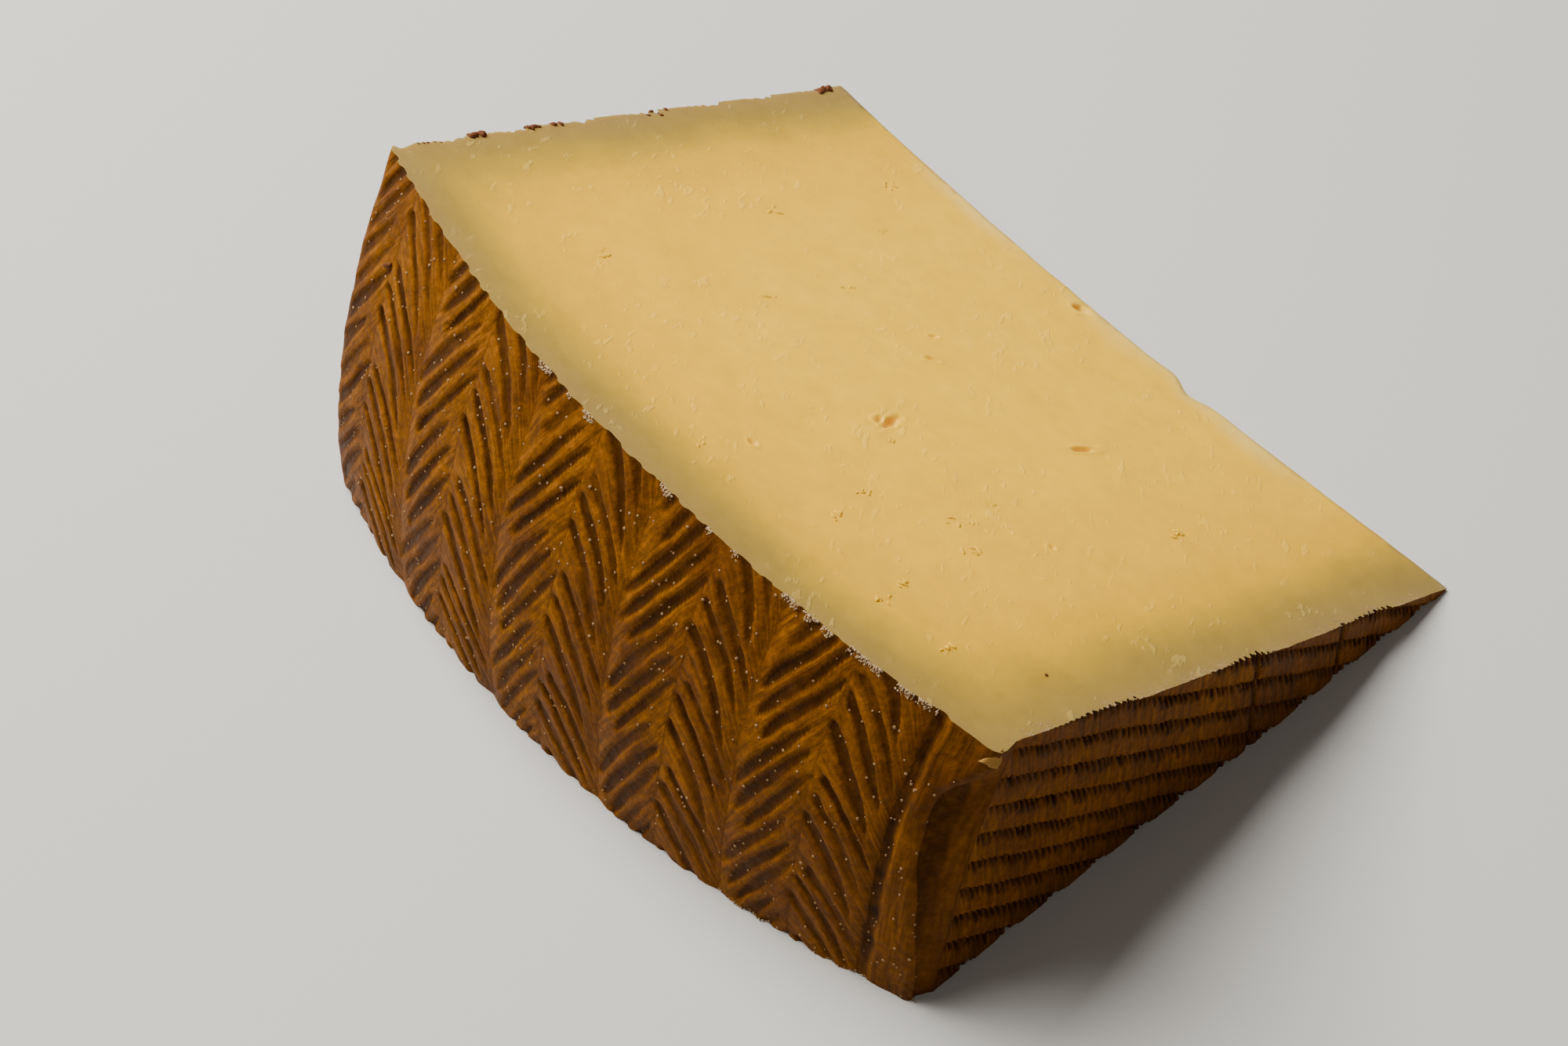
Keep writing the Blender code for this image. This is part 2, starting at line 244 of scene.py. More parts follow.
def faceRelief(across, up, near):
    side = ridges["near"] if near else ridges["far"]
    seed = side["seed"]
    level = ridgeLevel(across, up, side)
    v = np.mod((ridges["brow"] - level) / ridges["pitch"], 1.0)
    ramp = smoothStep(0, 1, 1 - v / ridges["share"])
    wander = 2.4 * bumps(across / 1.9, up / 3.5, seed + 2)
    tooth = 0.5 + 0.5 * np.sin(2 * math.pi * across / ridges["tooth"] + wander)
    gap = smoothStep(0.25, 0.65, tooth) * (0.8 + 0.2 * bumps(across / 1.1, up / 3, seed + 6))
    pit = smoothStep(0.0, 0.6, bumps(across / 2.4, up / 3.4, seed + 3))
    wear = 0.8 + 0.2 * bumps(across / 9, up / 9, seed + 7)
    drop = smoothStep(0.0, 0.07, v - 0.09 * (1 - gap))
    fall = drop * ramp
    # the knife left the ridges lower along both cuts
    room = np.minimum(cutHeight(0.0 if near else wheel["height"], across) - up, up)
    deep = ridges["deep"] * (0.4 + 0.6 * smoothStep(0.0, 2.5, room))
    height = -drop * ramp * wear * (deep + ridges["toothDeep"] * gap + 0.45 * pit * gap)
    height = height + 0.1 * smoothStep(0.9, 1.0, v) * (1 - fall)
    end = ridges["share"] * (0.82 + 0.3 * bumps(across / 0.9, up / 4, seed + 8))
    # the groove's dark colour: partly dust, partly painted shadow under each ridge's brow and in the
    # gaps between the teeth and the cross grooves
    dark = drop * smoothStep(end + 0.08, end - 0.18, v)
    groove = dark * (0.26 + 0.68 * gap + 0.4 * pit * gap)
    if near:
        for place in ridges["crossGrooves"]:
            scratch = np.exp(-(((across - place + 0.06 * up) / 0.4) ** 2))
            height = height - 0.45 * scratch * (1 - fall)
            groove = np.maximum(groove, 0.8 * scratch)
    radius = np.hypot(across, up)
    edge = fieldEdge(wheel["belly"] * np.arctan2(up, -across), near)
    inside = smoothStep(0.15, 1.3, edge - radius)
    dome = wheel["dome"] * (1 - (radius / wheel["fieldRadius"]) ** 2)
    uneven = 0.16 * bumps(across / 18, up / 18, seed + 4)
    uneven = uneven + 0.07 * roughness(across / 2, up / 2, seed + 5)
    return dome + (height + uneven - 0.14) * inside, groove * inside, across, level + 300


# The smooth rim: its crest is pressed back half way up the near side, with a hollow behind it,
# and stands proud again under the upper cut.
rim = {
    "crestArcs": (-3.0, 5.0, 10.0, 17.0, 23.5, 27.5, 31.0, 33.5, 36.0, 37.8, 39.8, 42.0, 60.0),
    "crestDepths": (0.6, 0.7, 0.95, 1.8, 2.9, 3.3, 3.55, 3.4, 2.9, 1.9, 0.4, -0.6, -0.7),
    "hollows": (0.15, 0.3, 0.65, 0.95, 1.0, 1.0, 1.0, 1.0, 0.95, 0.7, 0.3, 0.0, 0.0),
    "farCrest": 0.35,
    "farHollow": 0.7,
    "lowFieldEdge": 1.2,    # how much wider the ridged field is at the lower cut
    "nearCounts": (3, 4, 4, 3, 3, 3, 3, 4),
    "farCounts": (2, 3, 3, 2, 2, 2, 2, 3),
    "plaitFrom": 8.0,
    "sideStep": 0.34,
    "arcStep": 0.34,
    "lowArc": -1.5,
    "highArc": 58.5,
}


def fieldEdge(arc, near):
    # the radius at which the ridged field begins
    low = smoothStep(14, 0, arc) * rim["lowFieldEdge"] if near else 0.0
    return wheel["fieldRadius"] + low


def rimKeys(arc, near):
    # places along the rim's outline, from the ridged field over the hollow and crest to the side
    if near:
        crest = np.interp(arc, rim["crestArcs"], rim["crestDepths"])
        hollow = np.interp(arc, rim["crestArcs"], rim["hollows"])
        crest = crest + 0.12 * bumps(arc / 5, 0, 8)
    else:
        crest = rim["farCrest"] + 0.5 * bumps(arc / 7, 0, 9)
        hollow = rim["farHollow"]
    floor = crest + hollow
    edge = fieldEdge(arc, near)
    top = barrel(crest) - 0.55
    width = top - edge
    shares = ((0.0, 0.0), (0.10, 0.16), (0.34, 0.50), (0.62, 0.88), (0.80, 1.0))
    keys = [(edge + width * across, floor * down) for across, down in shares]
    keys.append((edge + width * 0.93, crest + 0.5 * hollow))
    keys.append((top, crest + 0.06))
    keys.append((barrel(crest + 0.75) - 0.04, crest + 0.75))
    keys.append((barrel(crest + 1.9), crest + 1.9))
    return np.array([np.stack(key, axis=-1) for key in keys])


def throughKeys(keys, counts):
    # rows of places along a smooth curve through the keys
    rows = []
    last = len(keys) - 1
    for i, count in enumerate(counts):
        a, b, c, d = keys[max(i - 1, 0)], keys[i], keys[i + 1], keys[min(i + 2, last)]
        for t in np.linspace(0, 1, count, endpoint=False):
            cubic = (3 * b - a - 3 * c + d) * t ** 3
            rows.append(0.5 * (2 * b + (c - a) * t + (2 * a - 5 * b + 4 * c - d) * t ** 2 + cubic))
    rows.append(keys[last])
    return np.array(rows)


def wheelRows(arc):
    # radius and depth of every row of the skin round the rims and the side, before the relief
    near = throughKeys(rimKeys(arc, True), rim["nearCounts"])
    far = throughKeys(rimKeys(arc, False), rim["farCounts"])[::-1]
    far[..., 1] = wheel["height"] - far[..., 1]
    start, end = near[-1, :, 1], far[0, :, 1]
    first = int((rim["plaitFrom"] - 2.5) / rim["sideStep"])
    depths = [start + (rim["plaitFrom"] - start) * i / first for i in range(1, first)]
    count = int((wheel["height"] - 2 - rim["plaitFrom"]) / rim["sideStep"])
    depths += [rim["plaitFrom"] + (end - rim["plaitFrom"]) * i / count for i in range(count)]
    side = np.array([np.stack([barrel(depth), depth], axis=-1) for depth in depths])
    rows = np.concatenate([near, side, far])
    return rows[..., 0], rows[..., 1]


def roundRelief(radius, depth, arc):
    # the plait, the unevenness and the groove depths over the rims and the side
    relief, groove, straw, along = plaitRelief(depth, arc)
    high = wheel["height"]
    onSide = smoothStep(0.6, 2.6, depth + np.minimum(radius - barrel(depth), 0) * 4)
    onSide = onSide * smoothStep(high - 0.5, high - 2.5, depth)
    uneven = 0.25 * bumps(depth / 22, arc / 17, 5)
    uneven = uneven + 0.09 * roughness(depth / 2.4, arc / 2.4, 6) - 0.1
    # the hollow behind the crest takes some of the groove's dark colour, partly the rind's own darker
    # colour there and partly painted shade in the hollow
    hollowColourAndShade = smoothStep(0.5, 1.5, barrel(depth) - radius)
    hollowColourAndShade = hollowColourAndShade * smoothStep(0.3, 1.6, radius - wheel["fieldRadius"])
    hollowColourAndShade = hollowColourAndShade * smoothStep(0.9, 2.2, np.where(depth < high / 2, depth, high - depth))
    smooth = 0.1 * roughness(radius / 1.6, arc / 3.1, 7)
    inward = np.where(depth < high / 2, smooth, -smooth) * smoothStep(86.2, 87.2, radius)
    # and the smooth near rim a little of it, as painted shade on the near rim
    nearRimShade = 0.3 * smoothStep(6.2, 5.2, depth)
    groove = np.maximum(np.maximum(groove * onSide, 0.55 * hollowColourAndShade), nearRimShade)
    return radius + (relief + uneven) * onSide, depth + inward, groove, straw, along


fields = {
    "nearColumn": 0.21,
    "nearRows": (0.0, 0.03, 0.08, 0.17, 0.28, 0.40, 0.54, 0.70, 0.85, 0.96),
    "farColumn": 0.50,
    "farRows": (0.0, 0.06, 0.2, 0.4, 0.6, 0.8, 0.94),
    "nearArc": 48.5,
    "beyond": 2.0,          # how far the skin goes on past the tip cut before it is cut
}


def fieldPoints(near, ceiling):
    # places on a flat face in rows that follow its ridges, dense where the grooves drop
    side = ridges["near"] if near else ridges["far"]
    column = fields["nearColumn"] if near else fields["farColumn"]
    phases = fields["nearRows"] if near else fields["farRows"]
    turn = math.radians(side["turn"])
    found = []
    across = np.arange(-wheel["fieldRadius"] - 1.5, fields["beyond"] - 0.3, column)
    for number in range(-40, 41):
        for i, phase in enumerate(phases):
            level = ridges["brow"] - (number + phase) * ridges["pitch"]
            place = across + (column / 2 if (number + i) % 2 else 0.0)
            up = (level + side["offset"] + place * math.sin(turn)) / math.cos(turn)
            if up.max() < -4 or up.min() > 75:
                continue
            for _ in range(4):
                up = up + (level - ridgeLevel(place, up, side)) / math.cos(turn)
            found.append(np.stack([place, up], axis=-1))
    found = np.concatenate(found)
    radius = np.hypot(found[:, 0], found[:, 1])
    edge = fieldEdge(wheel["belly"] * np.arctan2(found[:, 1], -found[:, 0]), near)
    keep = (radius < edge - 0.8 * column) & (found[:, 1] > rim["lowArc"] + 0.2)
    keep &= found[:, 1] < ceiling(found[:, 0]) - 0.2
    return found[keep]


def triangulate(border, inner):
    # triangles over the border's polygon that use every border point and every inner point
    coords = [Vector(p) for p in border] + [Vector(p) for p in inner]
    count = len(border)
    edges = [(i, (i + 1) % count) for i in range(count)]
    points, _, faces, origins, _, _ = delaunay_2d_cdt(coords, edges, [], 1, 1e-7)
    names = [origin[0] if origin else -1 for origin in origins]
    return points, names, faces


def buildRind():
    # the open skin of the side and both flat faces, larger than the wedge all round
    count = int((rim["highArc"] - rim["lowArc"]) / rim["arcStep"])
    turns = np.linspace(rim["lowArc"], rim["highArc"], count)
    radius, depth = wheelRows(turns)
    arc = np.broadcast_to(turns, radius.shape)
    radius, depth, groove, straw, along = roundRelief(radius, depth, arc)
    angle = turns / wheel["belly"]
    places = toFrame(depth, -radius * np.cos(angle), radius * np.sin(angle))
    rows, columns = radius.shape
    skin = {
        "verts": places.reshape(-1, 3).tolist(),
        "recess": groove.reshape(-1).tolist(),
        "straw": straw.reshape(-1).tolist(),
        "along": along.reshape(-1).tolist(),
        "faces": [],
    }
    for i in range(rows - 1):
        for j in range(columns - 1):
            a = i * columns + j
            skin["faces"].append((a, a + 1, a + columns + 1, a + columns))
    for near in (True, False):
        addField(skin, near, turns, radius)
    mesh = bpy.data.meshes.new("manchegoWedge")
    mesh.from_pydata(skin["verts"], [], skin["faces"])
    # recess: how much of the grooves' dark colour each place takes, dust and painted shade
    for name in ("recess", "straw", "along"):
        attribute = mesh.attributes.new(name, "FLOAT", "POINT")
        attribute.data.foreach_set("value", skin[name])
    return mesh


def addField(skin, near, turns, radius):
    # covers a flat face inside the rim's innermost row, sharing that row's vertices
    rows, columns = radius.shape
    row = 0 if near else rows - 1
    used = np.where(turns < (fields["nearArc"] if near else rim["highArc"] + 1))[0]
    angle = turns[used] / wheel["belly"]
    edge = [-radius[row, used] * np.cos(angle), radius[row, used] * np.sin(angle)]
    edge = np.stack(edge, axis=-1)
    beyond = fields["beyond"]
    top = edge[-1]
    corner = np.array([beyond, cutHeight(0 if near else wheel["height"], beyond) + 3.0])
    slope = (corner[1] - top[1]) / (corner[0] - top[0])
    inner = fieldPoints(near, lambda across: top[1] + slope * (across - top[0]))
    border = np.concatenate([edge, [corner], [[beyond, edge[0][1]]]])
    points, names, triangles = triangulate(border.tolist(), inner.tolist())
    across = np.array([p.x for p in points])
    up = np.array([p.y for p in points])
    relief, groove, straw, along = faceRelief(across, up, near)
    depths = -relief if near else wheel["height"] + relief
    places = toFrame(depths, across, up).tolist()
    index = []
    for k, name in enumerate(names):
        if 0 <= name < len(used):
            index.append(row * columns + int(used[name]))
        else:
            index.append(len(skin["verts"]))
            skin["verts"].append(places[k])
            skin["recess"].append(float(groove[k]))
            skin["straw"].append(float(straw[k]))
            skin["along"].append(float(along[k]))
    for triangle in triangles:
        a, b, c = [index[k] for k in triangle]
        skin["faces"].append((a, c, b) if near else (a, b, c))


def cutWedge(obj):
    # the three cuts, each leaving the rind open where the knife went through
    rise = wheel["farRise"] / wheel["height"]
    upper = Vector((rise, math.tan(math.radians(wheel["slope"])), 1.0)).normalized()
    setback = (wheel["tipSetback"] - wheel["tipBlunt"]) / wheel["height"]
    tip = Vector((-setback, 1.0, 0.0)).normalized()
    cuts = {
        "base": (Vector((0, 0, 0)), Vector((0, 0, -1))),
        "upper": (Vector(toFrame(0.0, 0.0, 0.0)), upper),
        "tip": (Vector(toFrame(0.0, -wheel["tipBlunt"], 0.0)), tip),
    }
    bpy.ops.object.select_all(action="DESELECT")
    obj.select_set(True)
    bpy.context.view_layer.objects.active = obj
    bpy.ops.object.mode_set(mode="EDIT")
    for place, normal in cuts.values():
        bpy.ops.mesh.select_all(action="SELECT")
        bpy.ops.mesh.bisect(plane_co=place, plane_no=normal, clear_outer=True, threshold=1e-7)
    bpy.ops.object.mode_set(mode="OBJECT")
    return cuts


def chain(edges, along):
    # the edges' vertices in order, from the end that lies lowest along a direction
    links = {}
    for edge in edges:
        a, b = edge.verts
        links.setdefault(a, []).append(b)
        links.setdefault(b, []).append(a)
    ends = [v for v, others in links.items() if len(others) == 1]
    order = [min(ends, key=lambda v: v.co.dot(along))]
    last = None
    while True:
        onward = [v for v in links[order[-1]] if v is not last]
        if not onward:
            return order
        last = order[-1]
        order.append(onward[0])


def stretch(bm, start, end, step):
    # new vertices between two that are there, without the two
    count = max(1, int((end.co - start.co).length / (step * mm)))
    return [bm.verts.new(start.co.lerp(end.co, i / count)) for i in range(1, count)]


def hexGrid(low, high, spacing, seed):
    grid = []
    for i, v in enumerate(np.arange(low[1], high[1], spacing * 0.866)):
        u = np.arange(low[0], high[0], spacing) + (i % 2) * spacing / 2
        grid.append(np.stack([u, np.full_like(u, v)], axis=-1))
    grid = np.concatenate(grid)
    u, v = grid.T
    shift = np.stack([draw(u, v, seed), draw(v, u, seed)], axis=-1)
    return grid + 0.15 * spacing * shift


def fillCut(bm, loop, axisU, axisV, spacing, dense=()):
    # covers a flat cut with fine triangles that meet the loop's vertices, finer round each
    # dense place, given with its radius and spacing
    flat = np.array([(v.co.dot(axisU) / mm, v.co.dot(axisV) / mm) for v in loop])
    grid = hexGrid(flat.min(axis=0), flat.max(axis=0), spacing, 61)
    for place, reach, step in dense:
        middle = np.array([place.dot(axisU), place.dot(axisV)]) / mm
        patch = hexGrid(middle - reach, middle + reach, step, 62)
        patch = patch[np.hypot(*(patch - middle).T) < reach]
        grid = grid[np.hypot(*(grid - middle).T) > reach + 0.4 * spacing]
        grid = np.concatenate([grid, patch])
    inside = np.zeros(len(grid), bool)
    for a, b in zip(flat, np.roll(flat, -1, axis=0)):
        if a[1] != b[1]:
            crosses = (a[1] > grid[:, 1]) != (b[1] > grid[:, 1])
            edgeU = (b[0] - a[0]) * (grid[:, 1] - a[1]) / (b[1] - a[1]) + a[0]
            inside ^= crosses & (grid[:, 0] < edgeU)
    tree = kdtree.KDTree(len(flat))
    for i, (u, v) in enumerate(flat):
        tree.insert((u, v, 0), i)
    tree.balance()
    grid = [(u, v) for u, v in grid[inside] if tree.find((u, v, 0))[2] > 0.3]
    points, names, triangles = triangulate(flat.tolist(), grid)
    start = loop[0].co
    origin = start - axisU * start.dot(axisU) - axisV * start.dot(axisV)
    verts = []
    for k, name in enumerate(names):
        if 0 <= name < len(loop):
            verts.append(loop[name])
        else:
            place = origin + axisU * points[k].x * mm + axisV * points[k].y * mm
            verts.append(bm.verts.new(place))
    return [bm.faces.new([verts[k] for k in triangle]) for triangle in triangles]


# The small eyes and torn places in the upper cut: depth, across, half length, half width, how
# deep, and the turn of the length in degrees.
marks = {
    "eyes": (
        (45.8, -51.4, 1.6, 0.5, 0.7, 103),
        (46.6, -52.3, 0.4, 0.7, 0.45, 20),
        (34.5, -30.1, 1.6, 0.4, 0.55, 72),
        (57.5, -32.8, 0.5, 0.3, 0.25, 72),
        (53.8, -36.6, 0.7, 0.35, 0.25, 50),
        (47.7, -70.8, 0.5, 0.42, 0.3, 0),
        (56.7, -6.6, 0.8, 0.85, 1.3, 20),
        (22.0, -48.5, 0.4, 0.3, 0.22, 0),
    ),
    "reach": 3.2,           # how far round an eye the mesh is fine, and its step there
    "step": 0.22,
    # the crumb that broke from the tip and the bump beside it: depth, reach, how deep
    "tipMarks": ((38.6, 2.2, 1.3), (42.5, 2.2, -0.5)),
}


def closeCuts(obj, cuts):
    # fills the three cuts with fine triangles that share the rind's border
    bm = bmesh.new()
    bm.from_mesh(obj.data)
    bmesh.ops.remove_doubles(bm, verts=bm.verts, dist=2e-7)
    border = [e for e in bm.edges if e.is_boundary]

    def edgesOn(name):
        place, normal = cuts[name]
        gap = 2e-6
        return [e for e in border if all(abs((v.co - place).dot(normal)) < gap for v in e.verts)]

    x, y, z = Vector((1, 0, 0)), Vector((0, 1, 0)), Vector((0, 0, 1))
    base = chain(edgesOn("base"), -x)
    top = chain(edgesOn("upper"), -x)
    nearTip = chain([e for e in edgesOn("tip") if e.verts[0].co.x > 0], z)
    farTip = chain([e for e in edgesOn("tip") if e.verts[0].co.x < 0], z)
    baseTip = stretch(bm, base[-1], base[0], 0.7)
    topTip = stretch(bm, top[-1], top[0], 0.4)
    upper, tip = cuts["upper"][1], cuts["tip"][1]
    alongUpper = upper.cross(x).cross(upper).normalized()
    eyes = []
    for depth, across, *_ in marks["eyes"]:
        place = Vector(toFrame(depth, across, cutHeight(depth, across)))
        eyes.append((place, marks["reach"], marks["step"]))
    made = fillCut(bm, base + baseTip, x, y, 2.2)
    made += fillCut(bm, top + topTip, alongUpper, upper.cross(alongUpper), 1.15, eyes)
    loop = nearTip + topTip[::-1] + farTip[::-1] + baseTip
    made += fillCut(bm, loop, tip.cross(z).normalized(), z, 0.8)
    for face in made:
        face.material_index = 1
    bmesh.ops.recalc_face_normals(bm, faces=bm.faces)
    triangles = sum(len(f.verts) - 2 for f in bm.faces)
    openEdges = sum(not e.is_manifold for e in bm.edges)
    print("wedge closed:", openEdges, "open edges,", triangles, "triangles")
    bm.to_mesh(obj.data)
    bm.free()


def shapeCuts(obj):
    # the hollow along the tip, the eyes, and how far each place of a cut lies from the rind
    mesh = obj.data
    count = len(mesh.vertices)
    flat = np.empty(count * 3)
    mesh.vertices.foreach_get("co", flat)
    co = flat.reshape(-1, 3) / mm
    depth = wheel["nearX"] - co[:, 0]
    across = co[:, 1] - wheel["axisY"]
    up = co[:, 2]
    onUpper = np.abs(up - cutHeight(depth, across)) < 0.01
    # the knife bellied into the tip, where a crumb broke away beside a bump
    along = np.clip(depth / wheel["height"], 0, 1)
    bow = wheel["tipHollow"] * 4 * along * (1 - along)
    bow = bow + 0.18 * roughness(depth / 5, up / 9, 70)
    nearTop = smoothStep(6, 1, cutHeight(depth, across) - up)
    for place, reach, deep in marks["tipMarks"]:
        bow = bow + deep * np.exp(-(((depth - place) / reach) ** 2)) * nearTop
    moved = across - bow * smoothStep(15, 0, tipFace(depth) - across)
    before = np.maximum(cutHeight(depth, across), 0.05)
    up = up * np.maximum(cutHeight(depth, moved), 0.05) / before
    across = moved
    # the upper cut's slow waves and its eyes
    wave = 0.16 * bumps(depth / 19, across / 23, 71) + 0.05 * bumps(depth / 4.5, across / 6.5, 72)
    inner = smoothStep(0.0, 5.0, np.minimum(depth + 1, wheel["height"] - depth))
    radius = np.hypot(across, up)
    inner = inner * smoothStep(wheel["rimRadius"] - 1, wheel["rimRadius"] - 7, radius)
    sink = np.where(onUpper, wave * inner, 0.0)
    eyeShade = np.zeros(count)
    for number, (place, middle, halfLong, halfWide, deep, turn) in enumerate(marks["eyes"]):
        turn = math.radians(turn)
        x, y = place - depth, across - middle
        a = (x * math.cos(turn) + y * math.sin(turn)) / halfLong
        b = (y * math.cos(turn) - x * math.sin(turn)) / halfWide
        ragged = 1 + 0.3 * bumps(x / 0.7, y / 0.7, 80 + number)
        distance = np.hypot(a, b) * ragged
        sink = sink - np.where(onUpper, deep * smoothStep(1.25, 0.5, distance), 0)
        sink = sink + np.where(onUpper, 0.1 * np.exp(-(((distance - 1.7) / 0.4) ** 2)), 0)
        # painted shade inside each eye, deeper in the deeper eyes
        dark = smoothStep(1.15, 0.5, distance) * min(1, deep)
        eyeShade = np.maximum(eyeShade, np.where(onUpper, dark, 0))
    co = toFrame(depth, across, up + sink)
    mesh.vertices.foreach_set("co", co.reshape(-1))
    onRind = np.zeros(count, bool)
    onPaste = np.zeros(count, bool)
    for polygon in mesh.polygons:
        (onPaste if polygon.material_index else onRind)[list(polygon.vertices)] = True
    for edge in mesh.edges:
        a, b = edge.vertices
        edge.use_edge_sharp = bool(onRind[a] and onPaste[a] and onRind[b] and onPaste[b])
    # nearer to two skins at once counts as nearer still, so the corners are the darkest: painted shade
    # towards the corners of the cut
    skins = (barrel(depth) - radius, depth + 0.6, wheel["height"] - depth + 0.6)
    fromRind = sum(np.maximum(skin, 0.05) ** -2.0 for skin in skins) ** -0.5
    fromRind = np.where(onRind, 0.0, fromRind)
    # the pale dried band along parts of the tip's edge
    fromTip = -across - wheel["tipBlunt"] - bow
    patches = smoothStep(-0.3, 0.5, bumps(depth / 16, 0, 73)) * smoothStep(95, 80, depth)
    dried = smoothStep(5.0, 0.6, fromTip + 1.2 * bumps(depth / 5, across / 3, 74)) * patches
    for name, values in (("fromRind", fromRind), ("dried", dried), ("eyeShade", eyeShade)):
        attribute = mesh.attributes.new(name, "FLOAT", "POINT")
        attribute.data.foreach_set("value", values)
    mesh.update()
    # what the small pieces on the rind are placed by
    normals = np.empty(count * 3)
    mesh.vertex_normals.foreach_get("vector", normals)
    recess = np.empty(count)
    mesh.attributes["recess"].data.foreach_get("value", recess)
    return {
        "places": np.stack([depth, across, up + sink], axis=-1),
        "normals": normals.reshape(-1, 3),
        "recess": recess,
        "onRind": onRind,
        "cutEdge": onRind & onPaste & onUpper,
        "footEdge": onRind & onPaste & (up < 0.01),
    }


def linear(code):
    # an sRGB hex colour as the linear one Blender's shaders use
    parts = [int(code[i:i + 2], 16) / 255 for i in (0, 2, 4)]
    return [c / 12.92 if c <= 0.04045 else ((c + 0.055) / 1.055) ** 2.4 for c in parts] + [1.0]


def addNode(tree, kind, inputs=None, **settings):
    # a shader node with its settings, and values or links by socket name or number
    node = tree.nodes.new("ShaderNode" + kind)
    for name, value in settings.items():
        setattr(node, name, value)
    for name, value in (inputs or {}).items():
        if isinstance(value, bpy.types.NodeSocket):
            tree.links.new(value, node.inputs[name])
        else:
            node.inputs[name].default_value = value
    return node


def newMaterial(name):
    material = bpy.data.materials.new(name)
    material.use_nodes = True
    material.node_tree.nodes.clear()
    return material, material.node_tree


# Pressed, oiled rind: waxy ochre brown on the raised straw marks, dark brown in the pressed
# grooves, partly the oil and dust that stay there and partly painted shade, with pale pimples
# and a soft shine on the tops.
rindLook = {
    "ridge": "855010",
    "ridgeDark": "683A0A",
    # groove and pit: dark browns of oil and dust in the grooves, deepened by painted shade
    "groove": "442506",
    "pit": "241104",
    "sheen": "D8923C",      # the wax tints what it reflects
    "roughness": 0.6,
    # scale per metre and detail: patches 11 mm wide, grain 0.9 mm, mottling of the grooves 1.4 mm
    "noises": {"patches": (90.0, 3.0), "grain": (1100.0, 4.0), "mottle": (700.0, 3.0)},
    # the straw's fibres to a millimetre, across and along: half a millimetre wide, some mm long
    "fibres": {"straw": 1.7, "along": 0.17},
}


def rindMaterial():
    material, tree = newMaterial("pressed oiled cheese rind")
    place = addNode(tree, "TexCoord").outputs["Object"]
    found = {}
    for name, (scale, detail) in rindLook["noises"].items():
        inputs = {"Vector": place, "Scale": scale, "Detail": detail}
        found[name] = addNode(tree, "TexNoise", inputs).outputs["Fac"]
    for name, count in rindLook["fibres"].items():
        value = addNode(tree, "Attribute", attribute_name=name).outputs["Fac"]
        found[name] = addNode(tree, "Math", {0: value, 1: count}, operation="MULTIPLY").outputs[0]
    straw = addNode(tree, "CombineXYZ", {0: found["straw"], 1: found["along"]}).outputs[0]
    inputs = {"Vector": straw, "Scale": 1.0, "Detail": 2.0}
    fibres = addNode(tree, "TexNoise", inputs).outputs["Fac"]
    # the raised straw marks: two browns in patches, then grain and fibres in light and dark
    share = addNode(tree, "MapRange", {0: found["patches"], 1: 0.32, 2: 0.68}).outputs[0]
    inputs = {0: share, 6: linear(rindLook["ridgeDark"]), 7: linear(rindLook["ridge"])}
    colour = addNode(tree, "Mix", inputs, data_type="RGBA").outputs[2]
    tones = ((found["grain"], 0.35, 0.7, 0.75, 1.15), (fibres, 0.34, 0.66, 0.66, 1.2))
    for value, low, high, dark, light in tones:
        inputs = {0: value, 1: low, 2: high, 3: dark, 4: light}
        tone = addNode(tree, "MapRange", inputs).outputs[0]
        inputs = {0: 1.0, 6: colour, 7: tone}
        colour = addNode(tree, "Mix", inputs, data_type="RGBA", blend_type="MULTIPLY").outputs[2]
    # the grooves, darkest where they are deepest: oil and dust, with painted shade that deepens with the
    # groove
    recess = addNode(tree, "Attribute", attribute_name="recess").outputs["Fac"]
    inputs = {0: found["mottle"], 1: 0.3, 2: 0.62, 3: 0.72, 4: 1.08}
    mottle = addNode(tree, "MapRange", inputs).outputs[0]
    hollow = addNode(tree, "Math", {0: recess, 1: mottle}, operation="MULTIPLY").outputs[0]
    for name, low, high, most in (("groove", 0.12, 0.6, 1.0), ("pit", 0.62, 0.95, 0.85)):
        share = addNode(tree, "MapRange", {0: hollow, 1: low, 2: high, 4: most}).outputs[0]
        inputs = {0: share, 6: colour, 7: linear(rindLook[name])}
        colour = addNode(tree, "Mix", inputs, data_type="RGBA").outputs[2]
    inputs = {0: fibres, 1: 0.9, 2: found["grain"]}
    height = addNode(tree, "Math", inputs, operation="MULTIPLY_ADD").outputs[0]
    inputs = {"Height": height, "Strength": 0.7, "Distance": 0.0003}
    bump = addNode(tree, "Bump", inputs).outputs[0]
    soft, dry = rindLook["roughness"] - 0.1, rindLook["roughness"] + 0.1
    inputs = {0: found["patches"], 1: 0.3, 2: 0.7, 3: soft, 4: dry}
    rough = addNode(tree, "MapRange", inputs).outputs[0]
    shader = addNode(tree, "BsdfPrincipled", {
        "Base Color": colour,
        "Normal": bump,
        "Roughness": rough,
        "Specular IOR Level": 0.1,
        "Specular Tint": linear(rindLook["sheen"]),
    })
    addNode(tree, "OutputMaterial", {"Surface": shader.outputs[0]})
    return material


